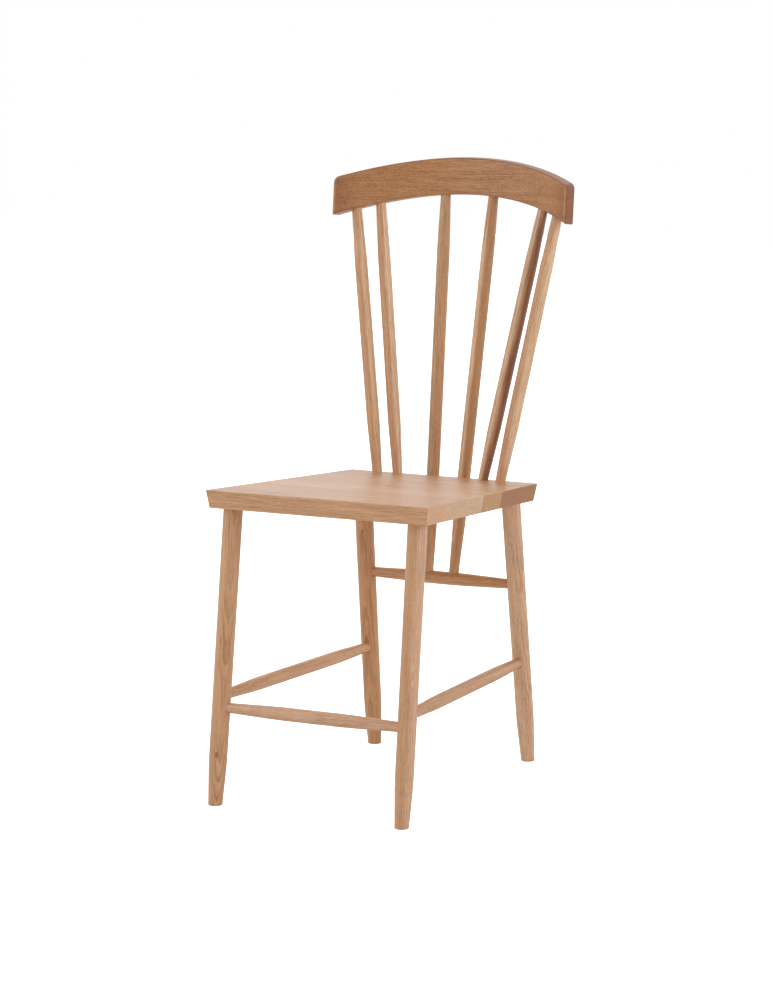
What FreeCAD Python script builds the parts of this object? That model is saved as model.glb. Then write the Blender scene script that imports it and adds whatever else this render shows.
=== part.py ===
import FreeCAD, Part
import math
import os
from FreeCAD import Rotation, Vector

# Spindle-back dining chair in solid oak, in millimetres.
# +Z is up, the chair faces -Y, and +X is the right side for someone who looks at its front.
# The origin is on the floor, below the middle of the chair's box.

# Whole chair
OVERALL_HEIGHT = 930.8
BACK_RAKE = 9.7               # degrees that the spindles lean back from upright

# Seat slab, glued up from boards that run from left to right
SEAT_FRONT_HEIGHT = 466.8     # top of the front edge above the floor
SEAT_TILT = 3.2               # degrees that the seat falls towards the back
SEAT_WIDTH_FRONT = 367.2
SEAT_WIDTH_BACK = 322.6
SEAT_DEPTH = 420.4            # along the slope
SEAT_THICKNESS = 27.0
SEAT_UNDERCUT = 4.3           # the edges lean in by this much at the underside
SEAT_BOARDS = 6
SEAT_CORNER_RADIUS = 1.8
SEAT_TOP_EASE = 1.3
SEAT_BOTTOM_EASE = 1.0

# Legs, turned, with a round tenon in the seat
LEG_TOP_DIAMETER = 29.2
LEG_KNEE_DIAMETER = 27.7
LEG_FOOT_DIAMETER = 21.5
LEG_FOOT_TAPER = 80.0         # length of the tapered foot
LEG_KNEE_BLEND = 30.0         # length over which the taper eases into the leg
LEG_FOOT_CHAMFER = 0.8
LEG_SPLAY = 7.2               # degrees, forwards in front and backwards behind
FRONT_LEG_SIDE_SPLAY = 0.35   # degrees, outwards
BACK_LEG_SIDE_SPLAY = 0.95
LEG_TENON_DIAMETER = 20.0
LEG_TENON_LENGTH = 18.0
FRONT_LEG_INSET_END = 30.4    # leg axis at the underside, from the seat's front edge
FRONT_LEG_INSET_SIDE = 29.5   # and from its side
BACK_LEG_INSET_END = 24.3
BACK_LEG_INSET_SIDE = 34.8

# Stretchers between the legs, turned, tapered at both ends
FRONT_STRETCHER_HEIGHT = 144.5
BACK_RAIL_HEIGHT = 284.5
STRETCHER_MIDDLE_DIAMETER = 20.4
STRETCHER_END_DIAMETER = 15.4
STRETCHER_TAPER = 102.0       # length of each tapered end, from its land
STRETCHER_BLEND = 40.0        # length over which the taper eases into the middle
STRETCHER_PAST_AXIS = 2.0     # how far an end goes past the axis of its leg
STRETCHER_LAND = 2.0          # straight length of an end that stands out of its leg
SOCKET_WALL = 1.2             # wood left in a front leg between its two sockets

# Spindles of the back, turned, tapered at both ends
SPINDLE_DIAMETER = 20.2
SPINDLE_END_DIAMETER = 15.6
SPINDLE_TAPER = 86.0          # length of each tapered end
SPINDLE_BLEND = 22.0          # length over which the taper eases into the body
SPINDLE_SEAT_SOCKET = 18.0
SPINDLE_CREST_SOCKET = 26.0
SPINDLE_CREST_OFFSET = 1.4    # the axis meets the crest rail this far in front of the board's middle
RAIL_TENON_DIAMETER = 10.0    # the centre spindles end in a thin tenon in the back rail
RAIL_TENON_LENGTH = 13.0
# Distance of each spindle's axis from the chair's middle plane
CENTRE_SPINDLE_AT_RAIL = 21.6
INNER_SPINDLE_AT_SEAT = 73.9
OUTER_SPINDLE_AT_SEAT = 106.3
CENTRE_SPINDLE_AT_CREST = 41.2
INNER_SPINDLE_AT_CREST = 139.6
OUTER_SPINDLE_AT_CREST = 172.3
# Distance of the inner and outer spindles' axes in front of the seat's back edge
INNER_SPINDLE_INSET = 12.4
OUTER_SPINDLE_INSET = 18.4

# Crest rail, a board curved round the sitter's back, with an arched top and underside
CREST_OVERHANG = 27.9         # from the outer spindle's axis to the end of the rail
CREST_THICKNESS = 25.0
CREST_DEPTH = 57.4            # height of the board at its middle, along its lean
CREST_LEAN = 5.7              # degrees that the board leans back from upright
CREST_BEND_RADIUS = 327.0     # of the middle of the board, seen from above
CREST_TOP_RADIUS = 644.0      # of the arched top, seen from the front
CREST_UNDERSIDE_RADIUS = 515.0
CREST_CORNER_RADIUS = 10.0
CREST_EDGE_EASE = 3.2

# Glue joints
GLUE_GAP = 0.1                # between a tenon and its socket, all round and at the end

REACH = 1000.0                # size of the blocks that trim a piece, larger than the chair

RAKE = math.radians(BACK_RAKE)
TILT = math.radians(SEAT_TILT)
LEAN = math.radians(CREST_LEAN)
CREST_HALF_LENGTH = OUTER_SPINDLE_AT_CREST + CREST_OVERHANG
SIDE_STRETCHER_HEIGHT = FRONT_STRETCHER_HEIGHT + STRETCHER_END_DIAMETER + 2 * GLUE_GAP + SOCKET_WALL


def seat_point(across, along, above=0.0):
    """A point given on the sloping seat: across and along it from its middle, above its top."""
    middle_height = SEAT_FRONT_HEIGHT - SEAT_DEPTH / 2 * math.sin(TILT)
    return Vector(across,
                  along * math.cos(TILT) + above * math.sin(TILT),
                  middle_height - along * math.sin(TILT) + above * math.cos(TILT))


def seat_half_width(along):
    """Half the seat's width on its top, at a place along it."""
    share = along / SEAT_DEPTH + 0.5
    return (SEAT_WIDTH_FRONT * (1 - share) + SEAT_WIDTH_BACK * share) / 2


def on_seat(shape):
    """Moves a shape from the seat's own flat frame onto the sloping seat."""
    placed = shape.copy()
    placed.rotate(Vector(0, 0, 0), Vector(1, 0, 0), -SEAT_TILT)
    placed.translate(seat_point(0, 0))
    return placed


def block(x0, x1, y0, y1, z0, z1):
    return Part.makeBox(x1 - x0, y1 - y0, z1 - z0, Vector(x0, y0, z0))


def point_at_height(start, end, height):
    """The point of the line through start and end that is at a height."""
    share = (height - start.z) / (end.z - start.z)
    return start + (end - start) * share


def rod(start, end, radius):
    """A plain cylinder from one point to another."""
    way = end - start
    return Part.makeCylinder(radius, way.Length, start, way)


def turned(start, way, half_profile):
    """A solid turned about the line from start along way; half_profile holds
    (distance, radius) corners, and three of them in a list make one arc."""
    edges = []
    last = Vector(0, 0, 0)
    for item in half_profile:
        if isinstance(item, list):
            first, middle, end = [Vector(r, 0, d) for d, r in item]
            if (first - last).Length > 1e-6:
                edges.append(Part.LineSegment(last, first).toShape())
            edges.append(Part.Arc(first, middle, end).toShape())
            last = end
        else:
            corner = Vector(item[1], 0, item[0])
            edges.append(Part.LineSegment(last, corner).toShape())
            last = corner
    axis_end = Vector(0, 0, last.z)
    edges.append(Part.LineSegment(last, axis_end).toShape())
    edges.append(Part.LineSegment(axis_end, Vector(0, 0, 0)).toShape())
    solid = Part.Face(Part.Wire(edges)).revolve(Vector(0, 0, 0), Vector(0, 0, 1), 360)
    turn = Rotation(Vector(0, 0, 1), way)
    solid.Placement = FreeCAD.Placement(start, turn)
    return solid


def eased_taper(thin_at, thin, thick_at, thick, blend):
    """Corners of a straight taper that eases into the thicker end with an arc of length blend."""
    length = abs(thick_at - thin_at)
    slope = (thick - thin) / (length - blend / 2)
    step = blend if thick_at > thin_at else -blend
    arc = [(thick_at - step, thick - slope * blend / 2),
           (thick_at - step / 2, thick - slope * blend / 8),
           (thick_at, thick)]
    if thick_at > thin_at:
        return [(thin_at, thin), arc]
    return [arc[::-1], (thin_at, thin)]


# Legs

def leg_line(side, front):
    """Top and foot of a leg's axis: where it meets the seat's underside, and the floor."""
    if front:
        along = -SEAT_DEPTH / 2 + FRONT_LEG_INSET_END
        across = seat_half_width(along) - FRONT_LEG_INSET_SIDE
    else:
        along = SEAT_DEPTH / 2 - BACK_LEG_INSET_END
        across = seat_half_width(along) - BACK_LEG_INSET_SIDE
    top = seat_point(side * across, along, -SEAT_THICKNESS)
    forwards = -1 if front else 1
    side_splay = FRONT_LEG_SIDE_SPLAY if front else BACK_LEG_SIDE_SPLAY
    foot = Vector(top.x + side * top.z * math.tan(math.radians(side_splay)),
                  top.y + forwards * top.z * math.tan(math.radians(LEG_SPLAY)),
                  0)
    return top, foot


def leg_radius(side, front, height):
    """Radius of a leg above its foot taper, at a height."""
    top, foot = leg_line(side, front)
    share = (height - LEG_FOOT_TAPER) / (top.z - LEG_FOOT_TAPER)
    return (LEG_KNEE_DIAMETER * (1 - share) + LEG_TOP_DIAMETER * share) / 2


def leg_tenon(side, front, gap=0.0):
    """The round tenon on a leg, or with a gap its socket in the seat."""
    top, foot = leg_line(side, front)
    up = (top - foot).normalize()
    root = top - up * LEG_TOP_DIAMETER / 2
    return rod(root, top + up * (LEG_TENON_LENGTH + gap), LEG_TENON_DIAMETER / 2 + gap)


def leg(side, front):
    top, foot = leg_line(side, front)
    up = (top - foot).normalize()
    start = foot - up * LEG_FOOT_DIAMETER / 2
    floor_at = LEG_FOOT_DIAMETER / 2
    top_at = floor_at + (top - foot).Length
    knee = LEG_KNEE_DIAMETER / 2
    profile = [(0, LEG_FOOT_DIAMETER / 2)]
    profile += eased_taper(floor_at, LEG_FOOT_DIAMETER / 2, floor_at + LEG_FOOT_TAPER, knee, LEG_KNEE_BLEND)
    profile += [(top_at, LEG_TOP_DIAMETER / 2), (top_at + LEG_TOP_DIAMETER / 2, LEG_TOP_DIAMETER / 2)]
    body = turned(start, up, profile)
    body = body.cut(on_seat(block(-REACH, REACH, -REACH, REACH, -SEAT_THICKNESS, REACH)))
    body = body.cut(block(-REACH, REACH, -REACH, REACH, -REACH, 0))
    rim = [e for e in body.Edges if e.BoundBox.ZMax < 0.01 and e.BoundBox.ZMin > -0.01]
    body = body.makeChamfer(LEG_FOOT_CHAMFER, rim)
    body = body.fuse(leg_tenon(side, front)).removeSplitter()
    for socket in leg_sockets(side, front):
        body = body.cut(socket)
    return body


# Stretchers and back rail

def stretcher_ends(name):
    """The points of two legs' axes that a stretcher joins, and how far each end runs straight."""
    height, one, other = {
        "front_stretcher": (FRONT_STRETCHER_HEIGHT, (-1, True), (1, True)),
        "left_stretcher": (SIDE_STRETCHER_HEIGHT, (-1, True), (-1, False)),
        "right_stretcher": (SIDE_STRETCHER_HEIGHT, (1, True), (1, False)),
        "back_rail": (BACK_RAIL_HEIGHT, (-1, False), (1, False)),
    }[name]
    points = [point_at_height(*leg_line(*which), height) for which in (one, other)]
    lands = [leg_radius(*which, height) + STRETCHER_LAND for which in (one, other)]
    return points, lands


def stretcher_tenon(name, end, gap=0.0):
    """The straight end of a stretcher inside a leg, or with a gap its socket."""
    points, lands = stretcher_ends(name)
    inwards = (points[1 - end] - points[end]).normalize()
    bottom = points[end] - inwards * (STRETCHER_PAST_AXIS + gap)
    return rod(bottom, points[end] + inwards * lands[end], STRETCHER_END_DIAMETER / 2 + gap)


def leg_sockets(side, front):
    """Sockets for the stretchers that meet one leg."""
    found = [("left_stretcher" if side < 0 else "right_stretcher", 0 if front else 1)]
    found.append(("front_stretcher" if front else "back_rail", 0 if side < 0 else 1))
    return [stretcher_tenon(name, end, GLUE_GAP) for name, end in found]


def stretcher(name):
    points, lands = stretcher_ends(name)
    way = (points[1] - points[0]).normalize()
    length = (points[1] - points[0]).Length
    start = points[0] - way * STRETCHER_PAST_AXIS
    thin = STRETCHER_END_DIAMETER / 2
    thick = STRETCHER_MIDDLE_DIAMETER / 2
    first = STRETCHER_PAST_AXIS + lands[0]
    last = STRETCHER_PAST_AXIS + length - lands[1]
    taper = min(STRETCHER_TAPER, (last - first) / 2)
    profile = [(0, thin)]
    profile += eased_taper(first, thin, first + taper, thick, STRETCHER_BLEND)
    profile += eased_taper(last, thin, last - taper, thick, STRETCHER_BLEND)
    profile += [(length + 2 * STRETCHER_PAST_AXIS, thin)]
    body = turned(start, way, profile)
    if name == "back_rail":
        for side in (-1, 1):
            body = body.cut(rail_tenon(side, GLUE_GAP))
    return body


# Spindles

def crest_origin():
    """Middle of the crest rail's top. The centre spindles' plane leans up from the back rail to the
    crest rail's underside, and the board stands on that with a lean of its own."""
    rail, lands = stretcher_ends("back_rail")
    underside = OVERALL_HEIGHT - CREST_DEPTH * math.cos(LEAN)
    reach = (underside - BACK_RAIL_HEIGHT) * math.tan(RAKE)
    thickness_offset = SPINDLE_CREST_OFFSET * math.cos(LEAN)
    return Vector(0, rail[0].y + reach + thickness_offset + CREST_DEPTH * math.sin(LEAN), OVERALL_HEIGHT)


def crest_point(across):
    """The point of the crest rail's underside that a spindle's axis meets."""
    back = math.sqrt(CREST_BEND_RADIUS ** 2 - across ** 2) - CREST_BEND_RADIUS - SPINDLE_CREST_OFFSET
    up = math.sqrt(CREST_UNDERSIDE_RADIUS ** 2 - across ** 2) - CREST_UNDERSIDE_RADIUS - CREST_DEPTH
    return crest_origin() + Vector(across,
                                   back * math.cos(LEAN) + up * math.sin(LEAN),
                                   -back * math.sin(LEAN) + up * math.cos(LEAN))


def spindle_line(place, side):
    """Lower and upper ends of a spindle's visible length, on its axis."""
    if place == "centre":
        rail, lands = stretcher_ends("back_rail")
        low = Vector(side * CENTRE_SPINDLE_AT_RAIL, rail[0].y, BACK_RAIL_HEIGHT)
        return low, crest_point(side * CENTRE_SPINDLE_AT_CREST)
    if place == "inner":
        low = seat_point(side * INNER_SPINDLE_AT_SEAT, SEAT_DEPTH / 2 - INNER_SPINDLE_INSET)
        return low, crest_point(side * INNER_SPINDLE_AT_CREST)
    low = seat_point(side * OUTER_SPINDLE_AT_SEAT, SEAT_DEPTH / 2 - OUTER_SPINDLE_INSET)
    return low, crest_point(side * OUTER_SPINDLE_AT_CREST)


def rail_tenon(side, gap=0.0):
    """The thin tenon below a centre spindle, or with a gap its socket in the back rail."""
    low, high = spindle_line("centre", side)
    up = (high - low).normalize()
    surface = low + up * STRETCHER_MIDDLE_DIAMETER / 2
    bottom = surface - up * (RAIL_TENON_LENGTH + gap)
    return rod(bottom, surface + up * STRETCHER_END_DIAMETER / 2, RAIL_TENON_DIAMETER / 2 + gap)


def spindle_sockets(place, side):
    """Sockets of one spindle in the seat and in the crest rail."""
    low, high = spindle_line(place, side)
    up = (high - low).normalize()
    radius = SPINDLE_END_DIAMETER / 2 + GLUE_GAP
    below = rod(low - up * (SPINDLE_SEAT_SOCKET + GLUE_GAP), low + up * SPINDLE_DIAMETER, radius)
    above = rod(high - up * SPINDLE_DIAMETER, high + up * (SPINDLE_CREST_SOCKET + GLUE_GAP), radius)
    return below, above


def spindle(place, side):
    low, high = spindle_line(place, side)
    up = (high - low).normalize()
    thin = SPINDLE_END_DIAMETER / 2
    thick = SPINDLE_DIAMETER / 2
    if place == "centre":
        below = -STRETCHER_MIDDLE_DIAMETER / 4
        first = (STRETCHER_MIDDLE_DIAMETER + SPINDLE_END_DIAMETER) / 2 + below
    else:
        below = SPINDLE_SEAT_SOCKET
        first = below + SPINDLE_END_DIAMETER / 4
    start = low - up * below
    last = below + (high - low).Length - SPINDLE_END_DIAMETER / 4
    profile = [(0, thin)]
    profile += eased_taper(first, thin, first + SPINDLE_TAPER, thick, SPINDLE_BLEND)
    profile += eased_taper(last, thin, last - SPINDLE_TAPER, thick, SPINDLE_BLEND)
    profile += [(below + (high - low).Length + SPINDLE_CREST_SOCKET, thin)]
    body = turned(start, up, profile)
    if place == "centre":
        body = body.cut(rail_core(GLUE_GAP))
        body = body.fuse(rail_tenon(side)).removeSplitter()
    return body


def rail_core(gap):
    """The back rail's round body without its sockets, thicker by a gap."""
    points, lands = stretcher_ends("back_rail")
    return rod(points[0], points[1], STRETCHER_MIDDLE_DIAMETER / 2 + gap)


# Crest rail

def arc_slab(radius, level, half_length, thickness, front, back):
    """A slab below an arched top face that runs from front to back."""
    drop = radius - math.sqrt(radius ** 2 - half_length ** 2)
    left = Vector(-half_length, front, level - drop)
    crown = Vector(0, front, level)
    right = Vector(half_length, front, level - drop)
    low_right = Vector(half_length, front, level - thickness)
    low_left = Vector(-half_length, front, level - thickness)
    edges = [Part.Arc(left, crown, right).toShape(),
             Part.LineSegment(right, low_right).toShape(),
             Part.LineSegment(low_right, low_left).toShape(),
             Part.LineSegment(low_left, left).toShape()]
    return Part.Face(Part.Wire(edges)).extrude(Vector(0, back - front, 0))


def on_crest(shape):
    """Moves an upright shape to the crest rail and leans it back."""
    placed = shape.copy()
    placed.rotate(Vector(0, 0, 0), Vector(1, 0, 0), -CREST_LEAN)
    placed.translate(crest_origin())
    return placed


def crest_rail():
    outer = CREST_BEND_RADIUS + CREST_THICKNESS / 2
    inner = CREST_BEND_RADIUS - CREST_THICKNESS / 2
    tall = 2 * CREST_DEPTH + CREST_UNDERSIDE_RADIUS
    centre = Vector(0, -CREST_BEND_RADIUS, -tall / 2)
    board = Part.makeCylinder(outer, tall, centre).cut(Part.makeCylinder(inner, tall, centre))
    half = CREST_HALF_LENGTH
    board = board.common(block(-half, half, -CREST_BEND_RADIUS, CREST_BEND_RADIUS, -tall, tall))
    under = arc_slab(CREST_UNDERSIDE_RADIUS, -CREST_DEPTH, half + CREST_THICKNESS, tall, -REACH, REACH)
    board = on_crest(board.cut(under))
    top = arc_slab(CREST_TOP_RADIUS, OVERALL_HEIGHT, half, tall, -REACH, REACH)
    corners = [e for e in top.Edges if e.Length > REACH and e.BoundBox.ZMin > OVERALL_HEIGHT - CREST_DEPTH]
    board = board.common(top.makeFillet(CREST_CORNER_RADIUS, corners))
    long_edges = [e for e in board.Edges if e.Length > half]
    board = board.makeFillet(CREST_EDGE_EASE, long_edges)
    for place in ("centre", "inner", "outer"):
        for side in (-1, 1):
            board = board.cut(spindle_sockets(place, side)[1])
    return board


# Seat

def seat_outline(inset, level):
    """Outline of the seat at a level, drawn in by an inset, as a closed wire."""
    front = -SEAT_DEPTH / 2 + inset
    back = SEAT_DEPTH / 2 - inset
    wide = seat_half_width(front) - inset
    narrow = seat_half_width(back) - inset
    corners = [Vector(-wide, front, level), Vector(wide, front, level),
               Vector(narrow, back, level), Vector(-narrow, back, level)]
    return Part.makePolygon(corners + corners[:1])


def seat_slab():
    """The whole seat in its own flat frame, top at z = 0, with its edges eased."""
    slab = Part.makeLoft([seat_outline(SEAT_UNDERCUT, -SEAT_THICKNESS), seat_outline(0, 0)], True, True)
    upright = [e for e in slab.Edges if e.BoundBox.ZLength > SEAT_THICKNESS / 2]
    slab = slab.makeFillet(SEAT_CORNER_RADIUS, upright)
    top = [e for e in slab.Edges if e.BoundBox.ZMin > -SEAT_TOP_EASE]
    slab = slab.makeFillet(SEAT_TOP_EASE, top)
    bottom = [e for e in slab.Edges if e.BoundBox.ZMax < SEAT_BOTTOM_EASE - SEAT_THICKNESS]
    return slab.makeFillet(SEAT_BOTTOM_EASE, bottom)


def seat_boards():
    """The seat's boards from front to back, with the sockets for legs and spindles."""
    seat = on_seat(seat_slab())
    for side in (-1, 1):
        for front in (True, False):
            seat = seat.cut(leg_tenon(side, front, GLUE_GAP))
        for place in ("inner", "outer"):
            seat = seat.cut(spindle_sockets(place, side)[0])
    width = SEAT_DEPTH / SEAT_BOARDS
    boards = []
    for number in range(SEAT_BOARDS):
        near = -SEAT_DEPTH / 2 + number * width
        far = near + width
        boards.append(seat.common(on_seat(block(-REACH, REACH, near, far, -REACH, REACH))))
    return boards


def build():
    nodes = {}
    for number, board in enumerate(seat_boards()):
        nodes["seat_board_%d" % (number + 1)] = board
    for word, side in (("left", -1), ("right", 1)):
        nodes["leg_front_" + word] = leg(side, True)
        nodes["leg_back_" + word] = leg(side, False)
        for place in ("outer", "inner", "centre"):
            nodes["spindle_%s_%s" % (place, word)] = spindle(place, side)
    for name in ("front_stretcher", "left_stretcher", "right_stretcher", "back_rail"):
        nodes[name] = stretcher(name)
    nodes["crest_rail"] = crest_rail()
    return nodes


def centred(nodes):
    """The pieces with the middle of their box above the origin."""
    box = Part.makeCompound(list(nodes.values())).optimalBoundingBox(False, False)
    shift = Vector(0, -(box.YMin + box.YMax) / 2, 0)
    moved = {}
    for name, shape in nodes.items():
        shape = shape.copy()
        shape.translate(shift)
        moved[name] = shape
    return moved


def main():
    os.makedirs("parts", exist_ok=True)
    nodes = centred(build())
    for name, shape in nodes.items():
        shape = shape.Solids[0] if len(shape.Solids) == 1 else shape
        shape.exportStep("parts/%s.step" % name)
        box = shape.BoundBox
        print("%-22s solids %d  %8.1f cm3  x %7.1f %7.1f  y %7.1f %7.1f  z %6.1f %6.1f" % (
            name, len(shape.Solids), shape.Volume / 1000,
            box.XMin, box.XMax, box.YMin, box.YMax, box.ZMin, box.ZMax))


main()
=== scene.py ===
import bpy
import math
from mathutils import Euler, Matrix, Vector
from mathutils.bvhtree import BVHTree


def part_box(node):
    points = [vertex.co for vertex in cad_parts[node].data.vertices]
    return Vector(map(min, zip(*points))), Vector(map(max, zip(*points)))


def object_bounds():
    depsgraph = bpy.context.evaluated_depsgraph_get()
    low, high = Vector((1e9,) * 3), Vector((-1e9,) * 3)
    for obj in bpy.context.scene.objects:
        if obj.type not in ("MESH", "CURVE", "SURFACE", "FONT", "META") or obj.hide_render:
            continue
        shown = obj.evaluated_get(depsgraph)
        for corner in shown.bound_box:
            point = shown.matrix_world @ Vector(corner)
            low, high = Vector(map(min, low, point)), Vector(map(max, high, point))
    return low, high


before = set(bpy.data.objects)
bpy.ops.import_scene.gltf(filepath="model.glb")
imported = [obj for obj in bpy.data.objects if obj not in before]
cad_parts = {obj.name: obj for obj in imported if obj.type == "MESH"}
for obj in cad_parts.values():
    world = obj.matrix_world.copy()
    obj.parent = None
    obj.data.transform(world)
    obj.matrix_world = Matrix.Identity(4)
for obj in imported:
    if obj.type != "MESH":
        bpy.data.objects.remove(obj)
cad_low, cad_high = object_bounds()

# Camera, in metres and radians: what the perspective of the photograph gives
CAMERA_PLACE = Vector((2.4624, -4.7939, 1.2862))
CAMERA_TURN = 0.47623         # to the left of straight ahead
CAMERA_DROP = 0.15754         # below the horizon
SENSOR = 36.0                 # long side of the picture, in millimetres
LENS = 130.016
PICTURE = (773, 1000)         # size of the picture, in pixels
CAMERA_ROTATION = Euler((math.pi / 2 - CAMERA_DROP, 0, CAMERA_TURN))

# Studio
FLOOR_HALF = 9.0
FLOOR_WHITE = 0.80
ROOM_SIDES = 1.0              # brightness of the room beside and behind the object
ROOM_FRONT = 0.50             # and on the camera's side
ROOM_TURN = (0.2, 0.95)       # where one goes over into the other, as a cosine from the camera's way
LAMP_AIM = (0, 0, 0.5)

# Lamps: place, width, height and watts
LAMPS = {
    "light_left": ((-2.2, -2.4, 1.9), 1.6, 1.8, 12),
    "light_right": ((2.9, -0.6, 1.5), 1.2, 1.8, 16),
}

# Oak: sizes of its figure in millimetres
PITH_DISTANCE = 70.0
RING_WIDTH = 2.3
WEAVE_LENGTH = 140.0          # the grain weaves over this length
RIPPLE_LENGTH = 28.0
RIPPLE = 0.4
FIBRE_WIDTH = 1.4
FIBRE_LENGTH = 40.0
STREAK_WIDTH = 7.0
STREAK_LENGTH = 190.0
PORE_WIDTH = 0.75
PORE_LENGTH = 9.0
RAY_WIDTH = 0.9
RAY_LENGTH = 7.0
RAY_DEPTH = 22.0
SEAM_WIDTH = 1.8

# Oak: how much each part of the figure darkens or lightens the wood
FIBRE_SHADE = 1.1
STREAK_SHADE = 0.40
EARLY_SHADE = 0.24
PORE_SHADE = 0.36
RAY_SHADE = 0.5
GREEN_POWER = 1.3             # a darker place also turns warmer
BLUE_POWER = 1.6
# strength of the painted shade on the crest rail's top
CREST_TOP_PAINTED_SHADE = 0.85

# Oil: roughness of its film, and how much of it the turned pieces and the seat carry
OIL_ROUGHNESS = 0.45
TURNED_OIL = 0.5
SEAT_OIL = 0.7
SEAT_ROUGHNESS = 0.34

# First numbers of the noises, so that no two pieces are alike
TURNED_SEED = 17.0            # for each piece
SEAT_SEED = 300.0
BOARD_SEED = 19.0             # for each board
CREST_SEED = 500.0

# Oak tones, linear
PALE = (0.74, 0.47, 0.29)
SAND = (0.68, 0.42, 0.24)
SHELL = (0.60, 0.385, 0.23)
ROSE = (0.62, 0.35, 0.20)
TAN = (0.58, 0.30, 0.14)
HONEY = (0.52, 0.25, 0.10)
OLIVE = (0.50, 0.28, 0.13)
NUT = (0.45, 0.205, 0.08)
UMBER = (0.37, 0.165, 0.07)
RUST = (0.42, 0.16, 0.06)
BARK = (0.25, 0.085, 0.028)
COCOA = (0.30, 0.11, 0.04)
DARK = (0.22, 0.07, 0.018)


class Shader:
    """Builds the nodes of one material."""

    def __init__(self, name):
        self.material = bpy.data.materials.new(name)
        self.material.use_nodes = True
        self.tree = self.material.node_tree
        self.surface = self.tree.nodes["Principled BSDF"]

    def add(self, kind, inputs=(), **settings):
        """A node of a kind; inputs are pairs of a socket's name or number and its value or source."""
        node = self.tree.nodes.new("ShaderNode" + kind)
        for key, value in settings.items():
            setattr(node, key, value)
        for socket, value in inputs:
            self.feed(node.inputs[socket], value)
        return node

    def feed(self, socket, value):
        if isinstance(value, bpy.types.NodeSocket):
            self.tree.links.new(value, socket)
        else:
            socket.default_value = value

    def math(self, operation, a, b=0.0, c=0.0):
        return self.add("Math", [(0, a), (1, b), (2, c)], operation=operation).outputs[0]

    def noise(self, vector, seed, detail=2.0, rough=0.5):
        """Noise from about 0 to 1 whose cell is one unit of the vector."""
        node = self.add("TexNoise", [("Vector", vector), ("W", seed), ("Scale", 1.0), ("Detail", detail),
                                     ("Roughness", rough)], noise_dimensions="4D")
        return node.outputs["Fac"]

    def vector(self, x, y, z):
        return self.add("CombineXYZ", [(0, x), (1, y), (2, z)]).outputs[0]

    def remap(self, value, low, high, to_low=0.0, to_high=1.0, smooth=False):
        node = self.add("MapRange", [("Value", value), ("From Min", low), ("From Max", high),
                                     ("To Min", to_low), ("To Max", to_high)],
                        interpolation_type="SMOOTHSTEP" if smooth else "LINEAR")
        return node.outputs[0]

    def mix(self, share, one, other, blend="MIX"):
        node = self.add("Mix", [("Factor", share), (6, one), (7, other)], data_type="RGBA", blend_type=blend)
        return node.outputs[2]


def rgba(tone):
    return (*tone, 1.0)


class Grain:
    """The wood's own directions in one piece: a place on its axis, the way of the fibres, and the way
    from the pith to the bark."""

    def __init__(self, place, along, bark):
        self.place = Vector(place)
        self.along = Vector(along).normalized()
        bark = Vector(bark)
        self.bark = (bark - bark.dot(self.along) * self.along).normalized()

    def matrix(self):
        side = self.along.cross(self.bark)
        return Matrix((self.bark, side, self.along)).transposed()

    def inside(self, point):
        """A point of the frame in the wood's own directions, in millimetres."""
        return self.matrix().transposed() @ (point - self.place) * 1000


def wood_place(shader, grain):
    """Socket for a point's place in the wood's own directions, in millimetres."""
    place = shader.add("TexCoord").outputs["Object"]
    mapping = shader.add("Mapping", [("Vector", place), ("Location", grain.place),
                                     ("Rotation", grain.matrix().to_euler()),
                                     ("Scale", (0.001, 0.001, 0.001))], vector_type="TEXTURE")
    return mapping.outputs[0]


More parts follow.
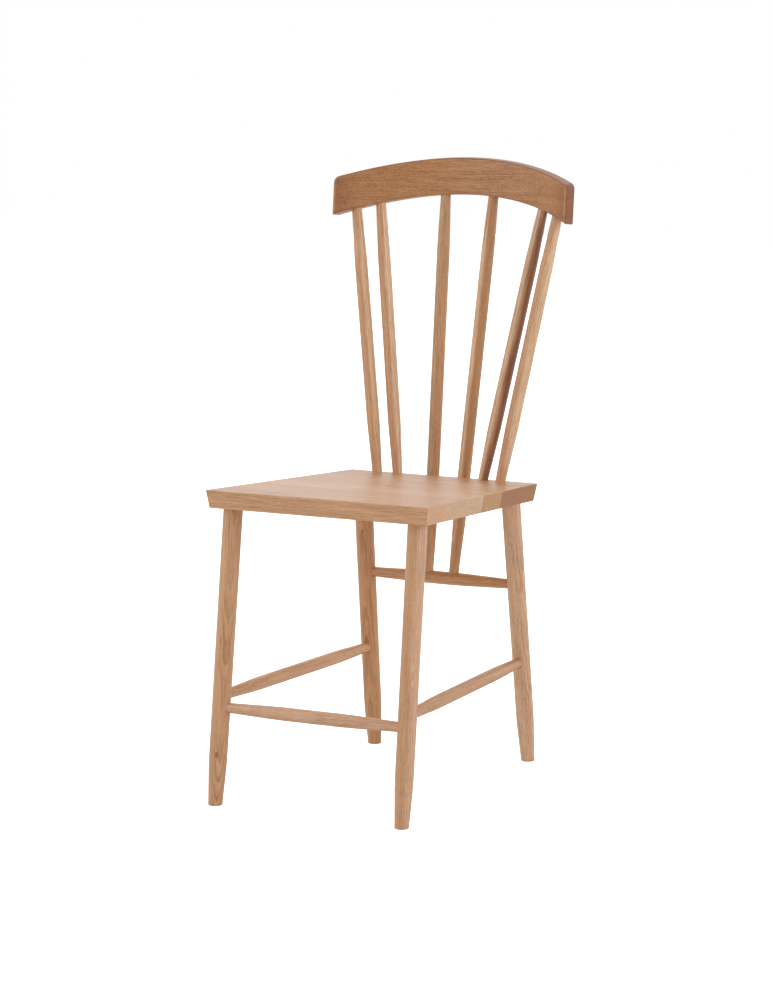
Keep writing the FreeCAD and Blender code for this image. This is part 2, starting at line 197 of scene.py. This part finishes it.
def oak(name, grain, tone, other, seed, rings=0.7, fibre=1.0, rays=0.2, pith=PITH_DISTANCE, slope=0.02,
        weave=2.0, boundary=0.0, blend=14.0, end_tone=BARK, end_from=0.75, rough=0.30, oil=0.0,
        spots=(), extra=None):
    """Oiled oak. On the bark's side it has one tone and towards the pith the other, and they meet at a
    boundary over a width, blend. rings, fibre and rays say how strong each figure is, and oil how
    much the film of oil shines, which end grain soaks up. Spots are marks in the wood, such as a pin
    knot: place, half width, half length, tone and strength."""
    s = Shader(name)
    place = wood_place(s, grain)
    x, y, z = s.add("SeparateXYZ", [(0, place)]).outputs

    far = s.math("MULTIPLY", z, 1 / WEAVE_LENGTH)
    near = s.math("MULTIPLY", z, 1 / RIPPLE_LENGTH)
    sway = s.math("SUBTRACT", s.noise(s.vector(far, 0.0, 0.0), seed + 11.0), 0.5)
    lean = s.math("SUBTRACT", s.noise(s.vector(0.0, far, 0.0), seed + 23.0), 0.5)
    ripple = s.math("SUBTRACT", s.noise(s.vector(s.math("MULTIPLY", y, 0.1), near, 0.0), seed + 29.0), 0.5)
    out = s.math("MULTIPLY_ADD", z, slope, s.math("MULTIPLY_ADD", sway, 4 * weave, pith))
    out = s.math("MULTIPLY_ADD", ripple, 4 * RIPPLE, out)
    radial_x = s.math("ADD", x, out)
    radial_y = s.math("MULTIPLY_ADD", lean, 4 * weave, y)
    squares = s.math("ADD", s.math("MULTIPLY", radial_x, radial_x), s.math("MULTIPLY", radial_y, radial_y))
    radius = s.math("SQRT", squares)
    tangent = s.math("MULTIPLY", s.math("ARCTAN2", radial_y, radial_x), pith)

    phase = s.math("DIVIDE", radius, RING_WIDTH)
    uneven = s.noise(s.vector(s.math("MULTIPLY", phase, 0.45), 0.0, 0.0), seed + 3.0, detail=1.0)
    phase = s.math("MULTIPLY_ADD", uneven, 2.0, phase)
    turn = s.math("FRACT", phase)
    rising = s.remap(turn, 0.0, 0.10, smooth=True)
    band = s.math("MULTIPLY", rising, s.remap(turn, 0.85, 0.12, smooth=True))
    strong = s.noise(s.vector(s.math("MULTIPLY", phase, 0.30), s.math("MULTIPLY", z, 1 / WEAVE_LENGTH), 0.0),
                     seed + 31.0, detail=1.0)
    early = s.math("MULTIPLY", band, s.remap(strong, 0.30, 0.62))

    def stretched(width, length, depth=None):
        depth = width if depth is None else depth
        return s.vector(s.math("MULTIPLY", tangent, 1 / width), s.math("MULTIPLY", radius, 1 / depth),
                        s.math("MULTIPLY", z, 1 / length))

    fibres = s.noise(stretched(FIBRE_WIDTH, FIBRE_LENGTH), seed + 5.0, detail=3.0, rough=0.65)
    streaks = s.noise(stretched(STREAK_WIDTH, STREAK_LENGTH), seed + 7.0, detail=2.0)
    pores = s.noise(stretched(PORE_WIDTH, PORE_LENGTH), seed + 13.0, detail=1.0)
    ray = s.noise(stretched(RAY_WIDTH, RAY_LENGTH, RAY_DEPTH), seed + 17.0, detail=1.0)
    pore = s.remap(pores, 0.52, 0.66, smooth=True)
    pore = s.math("MULTIPLY", pore, s.math("MULTIPLY_ADD", early, 0.75, 0.25))
    fleck = s.remap(ray, 0.60, 0.72, smooth=True)

    edge = s.math("MULTIPLY_ADD", s.math("SUBTRACT", streaks, 0.5), 2.2 * blend, x)
    bark_side = s.remap(edge, boundary - blend / 2, boundary + blend / 2, smooth=True)
    colour = s.mix(bark_side, rgba(other), rgba(tone))

    shade = s.math("MULTIPLY_ADD", s.math("SUBTRACT", fibres, 0.5), FIBRE_SHADE * fibre, 1.0)
    shade = s.math("MULTIPLY_ADD", s.math("SUBTRACT", streaks, 0.5), STREAK_SHADE * fibre, shade)
    ring_shade = s.math("MULTIPLY_ADD", early, -EARLY_SHADE * rings, 1.0 + EARLY_SHADE / 4 * rings)
    shade = s.math("MULTIPLY", shade, ring_shade)
    shade = s.math("MULTIPLY", shade, s.math("MULTIPLY_ADD", pore, -PORE_SHADE, 1.03))
    darker = s.vector(shade, s.math("POWER", shade, GREEN_POWER), s.math("POWER", shade, BLUE_POWER))
    colour = s.mix(1.0, colour, darker, "MULTIPLY")
    colour = s.mix(s.math("MULTIPLY", fleck, RAY_SHADE * rays), colour, rgba(PALE))

    normal = s.add("TexCoord").outputs["Normal"]
    facing = s.add("VectorMath", [(0, normal), (1, grain.along)], operation="DOT_PRODUCT").outputs["Value"]
    end = s.remap(s.math("ABSOLUTE", facing), end_from, end_from + 0.22, smooth=True)
    across_end = s.vector(s.math("MULTIPLY", x, 0.9), s.math("MULTIPLY", y, 0.35), 0.0)
    speckle = s.noise(across_end, seed + 41.0)
    end_shade = s.math("MULTIPLY", shade, s.math("MULTIPLY_ADD", speckle, 0.5, 0.75))
    end_colour = s.mix(1.0, rgba(end_tone), s.vector(end_shade, end_shade, end_shade), "MULTIPLY")
    colour = s.mix(end, colour, end_colour)
    for spot in spots:
        colour = marked(s, colour, place, grain, *spot)
    if extra:
        colour = extra(s, colour)

    s.feed(s.surface.inputs["Base Color"], colour)
    gloss = s.math("MULTIPLY_ADD", fibres, 0.16, rough)
    gloss = s.math("MULTIPLY_ADD", pore, 0.15, gloss)
    s.feed(s.surface.inputs["Roughness"], s.math("MULTIPLY_ADD", end, 0.15, gloss))
    relief = s.math("SUBTRACT", s.math("MULTIPLY", fibres, 0.6), s.math("MULTIPLY_ADD", early, 0.3, pore))
    bump = s.add("Bump", [("Strength", 0.25), ("Distance", 0.0001), ("Height", relief)])
    s.feed(s.surface.inputs["Normal"], bump.outputs[0])
    s.surface.inputs["IOR"].default_value = 1.5
    s.feed(s.surface.inputs["Coat Weight"], s.math("MULTIPLY_ADD", end, -oil, oil))
    s.surface.inputs["Coat Roughness"].default_value = OIL_ROUGHNESS
    return s.material


def marked(s, colour, place, grain, point, half_width, half_length, tone, strength):
    """A soft oval mark in the wood round a point of the frame, long with the grain."""
    middle = grain.inside(point)
    away = s.add("VectorMath", [(0, place), (1, middle)], operation="SUBTRACT").outputs[0]
    size = (1 / half_width, 1 / half_width, 1 / half_length)
    scaled = s.add("VectorMath", [(0, away), (1, size)], operation="MULTIPLY").outputs[0]
    distance = s.add("VectorMath", [(0, scaled)], operation="LENGTH").outputs["Value"]
    share = s.remap(distance, 1.0, 0.3, to_high=strength, smooth=True)
    return s.mix(share, colour, rgba(tone))


def middle_of(points):
    total = Vector((0, 0, 0))
    for point in points:
        total += point
    return total / len(points)


def axis_of(node, guess):
    """Middle and direction of a turned piece, from the middles of its two ends."""
    points = [v.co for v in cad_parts[node].data.vertices]
    guess = Vector(guess)
    heights = [p.dot(guess) for p in points]
    low, high = min(heights), max(heights)
    reach = 0.15 * (high - low)
    first = middle_of([p for p, h in zip(points, heights) if h < low + reach])
    last = middle_of([p for p, h in zip(points, heights) if h > high - reach])
    return (first + last) / 2, (last - first).normalized()


def towards_camera(place, along, angle):
    """Direction square to a piece's axis that faces the camera, turned about the axis by an angle
    in degrees."""
    view = CAMERA_PLACE - place
    view = (view - view.dot(along) * along).normalized()
    return Matrix.Rotation(math.radians(angle), 3, along) @ view


def seen_at(node, pixel):
    """The place on a node's surface that a pixel of the picture shows."""
    focal = LENS / SENSOR * PICTURE[1]
    offset = Vector((pixel[0] - PICTURE[0] / 2, PICTURE[1] / 2 - pixel[1], -focal))
    direction = CAMERA_ROTATION.to_matrix() @ offset
    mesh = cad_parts[node].data
    tree = BVHTree.FromPolygons([v.co for v in mesh.vertices], [p.vertices for p in mesh.polygons])
    return tree.ray_cast(CAMERA_PLACE, direction.normalized())[0]


UP = (0, 0, 1)
ACROSS = (1, 0, 0)
BACK = (0, 1, 0)

# Turned pieces: rough direction, angle of the bark from the view, its tone, the tone towards the pith
TURNED = {
    "spindle_outer_left": dict(guess=UP, bark=80, tone=SAND, other=TAN, boundary=2.0, blend=4.0),
    "spindle_inner_left": dict(guess=UP, bark=75, tone=PALE, other=TAN, boundary=3.5, blend=4.0),
    "spindle_centre_left": dict(guess=UP, bark=70, tone=TAN, other=OLIVE, boundary=2.0, blend=5.0),
    "spindle_centre_right": dict(guess=UP, bark=-60, tone=SAND, other=HONEY, boundary=8.0, blend=3.0),
    "spindle_inner_right": dict(guess=UP, bark=-80, tone=SAND, other=COCOA, boundary=2.5, blend=9.0),
    "spindle_outer_right": dict(guess=UP, bark=75, tone=SAND, other=TAN, boundary=0.0, blend=5.0),
    "leg_front_left": dict(guess=UP, bark=10, tone=TAN, other=TAN, rings=1.1, fibre=0.7, slope=0.03),
    "leg_front_right": dict(guess=UP, bark=80, tone=ROSE, other=TAN, rays=0.5, fibre=0.7,
                            boundary=2.0, blend=6.0),
    "leg_back_left": dict(guess=UP, bark=-20, tone=HONEY, other=HONEY, rings=1.3, slope=-0.03),
    "leg_back_right": dict(guess=UP, bark=60, tone=ROSE, other=SAND, rings=1.0, slope=0.04,
                           boundary=4.0, blend=9.0),
    "front_stretcher": dict(guess=ACROSS, bark=60, tone=ROSE, other=ROSE, rays=0.8),
    "left_stretcher": dict(guess=BACK, bark=-60, tone=TAN, other=TAN),
    "right_stretcher": dict(guess=BACK, bark=-60, tone=HONEY, other=HONEY),
    "back_rail": dict(guess=ACROSS, bark=60, tone=HONEY, other=HONEY, rings=1.2),
}

# Marks in the wood: the pixel of the picture, half width and half length in mm, tone and strength
MARKS = {
    "leg_front_left": [((216.5, 755), 4.0, 7.0, BARK, 0.8), ((221, 640), 2.0, 12.0, BARK, 0.4)],
    "leg_front_right": [((412.5, 669), 2.6, 7.0, PALE, 0.9), ((412.5, 684), 2.6, 7.0, PALE, 0.9),
                        ((416.7, 632.5), 2.2, 6.0, PALE, 0.7), ((420, 578), 4.5, 16.0, OLIVE, 0.4)],
    "left_stretcher": [((354, 652), 2.2, 3.5, BARK, 0.8), ((345, 655), 2.0, 3.0, BARK, 0.6),
                       ((234.5, 686), 2.0, 2.8, DARK, 0.9)],
    "spindle_centre_left": [((440, 310), 2.6, 16.0, RUST, 0.5)],
    "leg_back_right": [((521, 585), 3.4, 20.0, NUT, 0.5)],
    "crest_rail": [((541, 188), 3.0, 7.0, BARK, 0.5), ((352, 205), 2.6, 18.0, RUST, 0.5)],
}

# Seat boards from front to back. Their end tones get darker towards the back: partly the boards' own tones,
# partly painted shade above the back right leg.
BOARDS = [
    dict(tone=TAN, other=TAN, end_tone=ROSE, pith=35.0),
    dict(tone=TAN, other=TAN, end_tone=SHELL, pith=90.0),
    dict(tone=ROSE, other=TAN, end_tone=SHELL, pith=60.0),
    dict(tone=TAN, other=ROSE, end_tone=OLIVE, pith=80.0),
    dict(tone=TAN, other=TAN, end_tone=UMBER, pith=50.0),
    dict(tone=HONEY, other=TAN, end_tone=UMBER, pith=75.0),
]
SEAMS = (0.1, 0.1, 0.95, 0.3, 0.15)     # darkness of each joint line on the seat's ends
TOP_SEAM = 0.25                         # share of it that shows on the seat's top


def set_material(node, material):
    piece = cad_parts[node]
    piece.data.materials.clear()
    piece.data.materials.append(material)
    for polygon in piece.data.polygons:
        polygon.material_index = 0


def marks_of(node):
    """The marks of one node, at their places in the frame."""
    return [(seen_at(node, pixel), *rest) for pixel, *rest in MARKS.get(node, ())]


def finish_turned():
    for number, (node, look) in enumerate(TURNED.items()):
        look = dict(look)
        place, along = axis_of(node, look.pop("guess"))
        grain = Grain(place, along, towards_camera(place, along, look.pop("bark")))
        set_material(node, oak("oak_" + node, grain, seed=TURNED_SEED * number, oil=TURNED_OIL,
                               spots=marks_of(node), **look))


def seat_slope():
    """Direction from the front of the seat to its back, along its sloping top."""
    points = [v.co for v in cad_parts["seat_board_3"].data.vertices]
    highest = max(points, key=lambda p: p.z)
    top_back = max(points, key=lambda p: p.y + p.z)
    return Vector((0, top_back.y - highest.y, top_back.z - highest.z)).normalized()


def seam_lines(node, slope, near_seam, far_seam):
    """What darkens a board of the seat along its two joints."""
    reach = [v.co.dot(slope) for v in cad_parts[node].data.vertices]
    near, far = min(reach), max(reach)
    width = SEAM_WIDTH / 1000

    def darken(s, colour):
        place = s.add("TexCoord").outputs["Object"]
        normal = s.add("TexCoord").outputs["Normal"]
        along = s.add("VectorMath", [(0, place), (1, slope)], operation="DOT_PRODUCT").outputs["Value"]
        rise = s.add("VectorMath", [(0, normal), (1, (0, 0, 1))], operation="DOT_PRODUCT").outputs["Value"]
        shown = s.remap(rise, 0.5, 0.9, 1.0, TOP_SEAM)
        near_line = s.remap(along, near + width, near, to_high=near_seam)
        far_line = s.remap(along, far - width, far, to_high=far_seam)
        share = s.math("MULTIPLY", s.math("MAXIMUM", near_line, far_line), shown)
        return s.mix(share, colour, rgba(DARK))

    return darken


def finish_seat():
    slope = seat_slope()
    lines = (0.0, *SEAMS, 0.0)
    for number, look in enumerate(BOARDS):
        node = "seat_board_%d" % (number + 1)
        low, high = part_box(node)
        grain = Grain((low + high) / 2, ACROSS, (0, 0.25, 1))
        extra = seam_lines(node, slope, lines[number], lines[number + 1])
        set_material(node, oak("oak_" + node, grain, seed=SEAT_SEED + BOARD_SEED * number, slope=0.01,
                               rough=SEAT_ROUGHNESS, oil=SEAT_OIL, extra=extra, **look))


def painted_shade_top(s, colour):
    """Paints shade on the crest rail's top: faces that point up are darkened towards BARK."""
    normal = s.add("TexCoord").outputs["Normal"]
    rise = s.add("VectorMath", [(0, normal), (1, (0, 0, 1))], operation="DOT_PRODUCT").outputs["Value"]
    share = s.remap(rise, 0.35, 0.75, to_high=CREST_TOP_PAINTED_SHADE, smooth=True)
    return s.mix(share, colour, rgba(BARK))


def finish_crest():
    low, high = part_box("crest_rail")
    grain = Grain((low + high) / 2, ACROSS, (0, 0.1, 1))
    # the rail's top gets painted shade
    material = oak("oak_crest_rail", grain, NUT, NUT, seed=CREST_SEED, rings=1.4, fibre=1.3, pith=160.0,
                   slope=0.0, weave=1.0, end_tone=BARK, end_from=0.5, spots=marks_of("crest_rail"),
                   extra=painted_shade_top)
    set_material("crest_rail", material)


def plain_floor():
    """A white floor that looks as bright to the camera as the room behind it."""
    mesh = bpy.data.meshes.new("floor")
    corners = [(-1, -1), (1, -1), (1, 1), (-1, 1)]
    mesh.from_pydata([(x * FLOOR_HALF, y * FLOOR_HALF, cad_low.z) for x, y in corners], [], [(0, 1, 2, 3)])
    floor = bpy.data.objects.new("floor", mesh)
    bpy.context.scene.collection.objects.link(floor)
    shader = Shader("floor_white")
    shader.surface.inputs["Base Color"].default_value = rgba((FLOOR_WHITE,) * 3)
    shader.surface.inputs["Roughness"].default_value = 0.9
    shader.surface.inputs["Emission Color"].default_value = (1, 1, 1, 1)
    shader.feed(shader.surface.inputs["Emission Strength"], shader.add("LightPath").outputs["Is Camera Ray"])
    mesh.materials.append(shader.material)


def softbox(name, place, width, height, watts):
    light = bpy.data.lights.new(name, "AREA")
    light.shape = "RECTANGLE"
    light.size = width
    light.size_y = height
    light.energy = watts
    lamp = bpy.data.objects.new(name, light)
    lamp.location = place
    lamp.rotation_euler = (Vector(LAMP_AIM) - Vector(place)).to_track_quat("-Z", "Y").to_euler()
    bpy.context.scene.collection.objects.link(lamp)


def white_room():
    """A white room that is dimmer on the camera's side, and plain white behind the object."""
    world = bpy.data.worlds.new("room")
    bpy.context.scene.world = world
    world.use_nodes = True
    nodes, links = world.node_tree.nodes, world.node_tree.links
    way = nodes.new("ShaderNodeTexCoord").outputs["Generated"]
    dot = nodes.new("ShaderNodeVectorMath")
    dot.operation = "DOT_PRODUCT"
    links.new(way, dot.inputs[0])
    dot.inputs[1].default_value = CAMERA_PLACE.normalized()
    ramp = nodes.new("ShaderNodeMapRange")
    ramp.interpolation_type = "SMOOTHSTEP"
    sockets = ("From Min", "From Max", "To Min", "To Max")
    for socket, value in zip(sockets, (*ROOM_TURN, ROOM_SIDES, ROOM_FRONT)):
        ramp.inputs[socket].default_value = value
    links.new(dot.outputs["Value"], ramp.inputs["Value"])
    seen = nodes.new("ShaderNodeLightPath").outputs["Is Camera Ray"]
    pick = nodes.new("ShaderNodeMath")
    pick.operation = "MAXIMUM"
    links.new(ramp.outputs[0], pick.inputs[0])
    links.new(seen, pick.inputs[1])
    links.new(pick.outputs[0], nodes["Background"].inputs["Strength"])
    nodes["Background"].inputs["Color"].default_value = (1, 1, 1, 1)


def studio():
    plain_floor()
    white_room()
    for name, (place, width, height, watts) in LAMPS.items():
        softbox(name, place, width, height, watts)
    view = bpy.context.scene.view_settings
    view.view_transform = "Standard"
    view.look = "None"


def camera():
    data = bpy.data.cameras.new("camera")
    data.sensor_width = SENSOR
    data.lens = LENS
    eye = bpy.data.objects.new("camera", data)
    eye.location = CAMERA_PLACE
    eye.rotation_euler = CAMERA_ROTATION
    bpy.context.scene.collection.objects.link(eye)
    bpy.context.scene.camera = eye


finish_turned()
finish_seat()
finish_crest()
studio()
camera()
